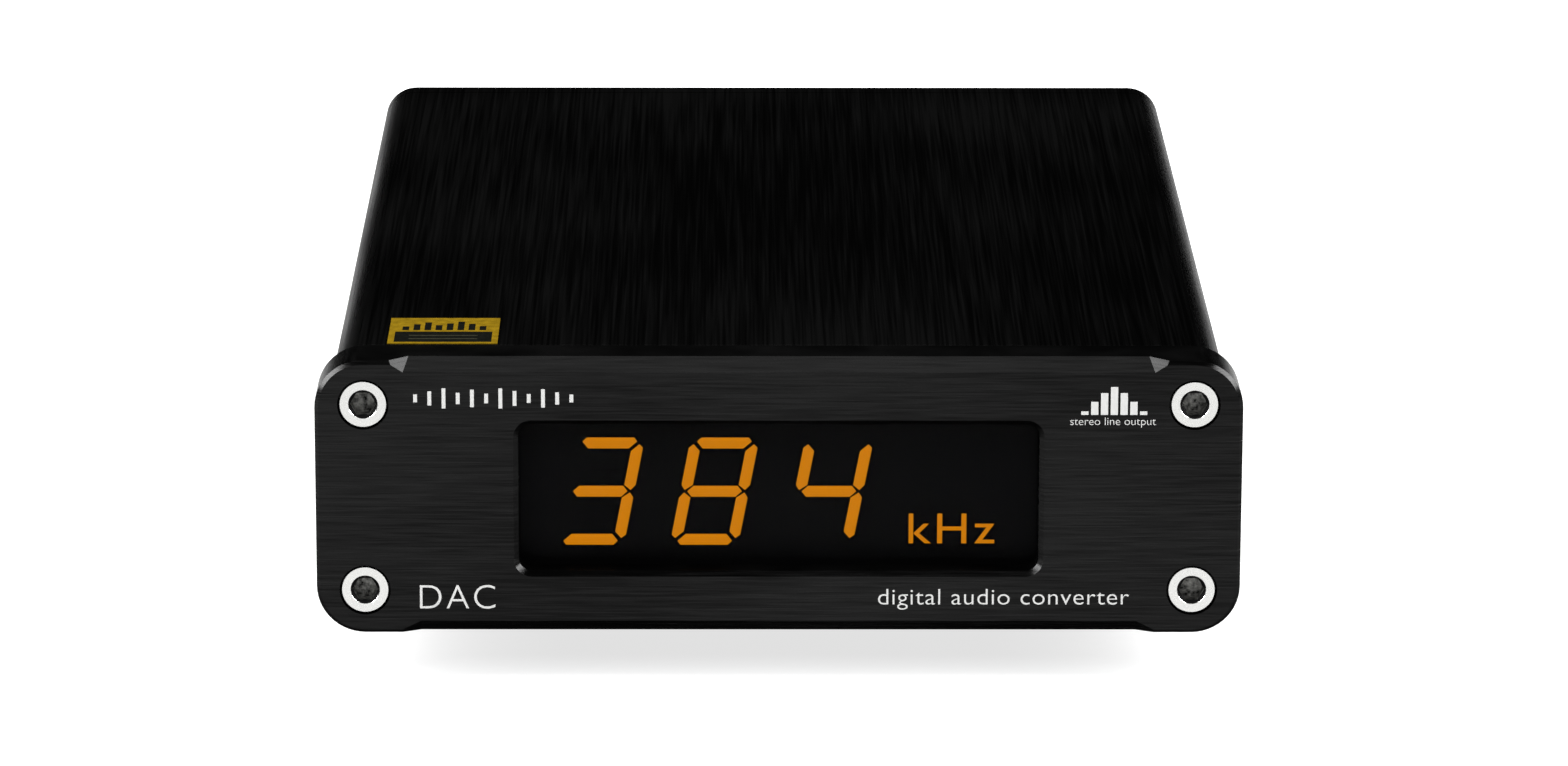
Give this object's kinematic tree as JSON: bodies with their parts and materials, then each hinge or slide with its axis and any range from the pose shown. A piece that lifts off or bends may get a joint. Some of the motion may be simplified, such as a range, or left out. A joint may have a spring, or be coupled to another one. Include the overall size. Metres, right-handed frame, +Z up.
{
  "type": "desktop digital-to-analogue converter",
  "caption": "Desktop digital-to-analogue converter: black anodised extruded case, thick brushed front plate, recessed orange display, phono outputs and a shuttered optical input",
  "frame": {"origin": "bottom centre of the bounding box, on the table under the feet", "axes": "X is the width, +Y points to the rear, +Z is up; the front face looks along -Y"},
  "size_m": [0.103, 0.146, 0.0371],
  "materials": {
    "black_anodised": "black anodised over brushed extrusion",
    "front_anodised": "black anodised over a lengthwise brushed face",
    "nickel_screw": "nickel plated steel",
    "foot_rubber": "moulded matt rubber",
    "adhesive_foam": "thin black adhesive foam",
    "smoked_lens": "smoked clear acrylic",
    "display_resin": "black moulded resin",
    "lit_orange": "lit diffusing resin",
    "unlit_diffuser": "unlit diffusing resin",
    "chip_resin": "moulded epoxy",
    "board_green": "green solder mask on glass epoxy",
    "black_plastic": "moulded",
    "white_plastic": "moulded",
    "red_plastic": "moulded",
    "orange_plastic": "moulded",
    "nickel_shell": "nickel plated sheet",
    "gold_contact": "thin gold plate",
    "spring_steel": "drawn wire",
    "tinned_metal": "tinned",
    "capacitor_can": "drawn can with a printed band",
    "film_red": "dipped resin",
    "ferrite": "pressed ferrite",
    "chip_ceramic": "fired ceramic",
    "gold_foil": "metallised foil label"
  },
  "bodies": {
    "root": {"capacitor_bases": "black_plastic", "case_shell": "black_anodised", "chip_capacitors": "chip_ceramic", "chip_resistors": "chip_resin", "clock_oscillators": "nickel_shell", "coax_in_contact": "gold_contact", "coax_in_housing": "black_plastic", "coax_in_insulator": "orange_plastic", "coax_in_sleeve": "gold_contact", "dac_chip": "chip_resin", "dac_chip_leads": "tinned_metal", "display_board": "board_green", "display_body": "display_resin", "display_driver_chip": "chip_resin", "display_header": "black_plastic", "display_window": "smoked_lens", "electrolytic_capacitors": "capacitor_can", "film_capacitors": "film_red", "flash_memory_chip": "chip_resin", "foot_adhesive_pads": "adhesive_foam", "front_panel": "front_anodised", "front_panel_screws": "nickel_screw", "legend_light_guide": "display_resin", "line_out_left_contact": "gold_contact", "line_out_left_housing": "black_plastic", "line_out_left_insulator": "white_plastic", "line_out_left_sleeve": "gold_contact", "line_out_right_contact": "gold_contact", "line_out_right_housing": "black_plastic", "line_out_right_insulator": "red_plastic", "line_out_right_sleeve": "gold_contact", "lit_segments": "lit_orange", "main_board": "board_green", "op_amp": "chip_resin", "op_amp_socket": "black_plastic", "optical_port_door_spring": "spring_steel", "optical_port_housing": "black_plastic", "optical_port_receiver": "black_plastic", "optical_solder_pins": "tinned_metal", "phono_solder_pins": "tinned_metal", "power_inductors": "ferrite", "rear_panel": "black_anodised", "rear_panel_screws": "nickel_screw", "rubber_feet": "foot_rubber", "top_label": "gold_foil", "unlit_segments": "unlit_diffuser", "usb_port_contacts": "gold_contact", "usb_port_insulator": "white_plastic", "usb_port_shell": "nickel_shell", "usb_receiver_chip": "chip_resin", "usb_receiver_leads": "tinned_metal", "usb_solder_pins": "tinned_metal", "voltage_regulators": "chip_resin", "window_tape_frame": "adhesive_foam"},
    "door": {"optical_port_door": "black_plastic"}
  },
  "joints": [
    {"name": "optical_door_hinge", "type": "hinge", "parent": "root", "child": "door", "pos_m": [-0.0105, 0.0647, 0.0239], "axis": [-1, 0, 0], "range_deg": [0, 85], "stiffness_Nm_per_rad": 0.00002, "springref_deg": -57.3, "deforming": ["optical_port_door_spring"]}
  ]
}
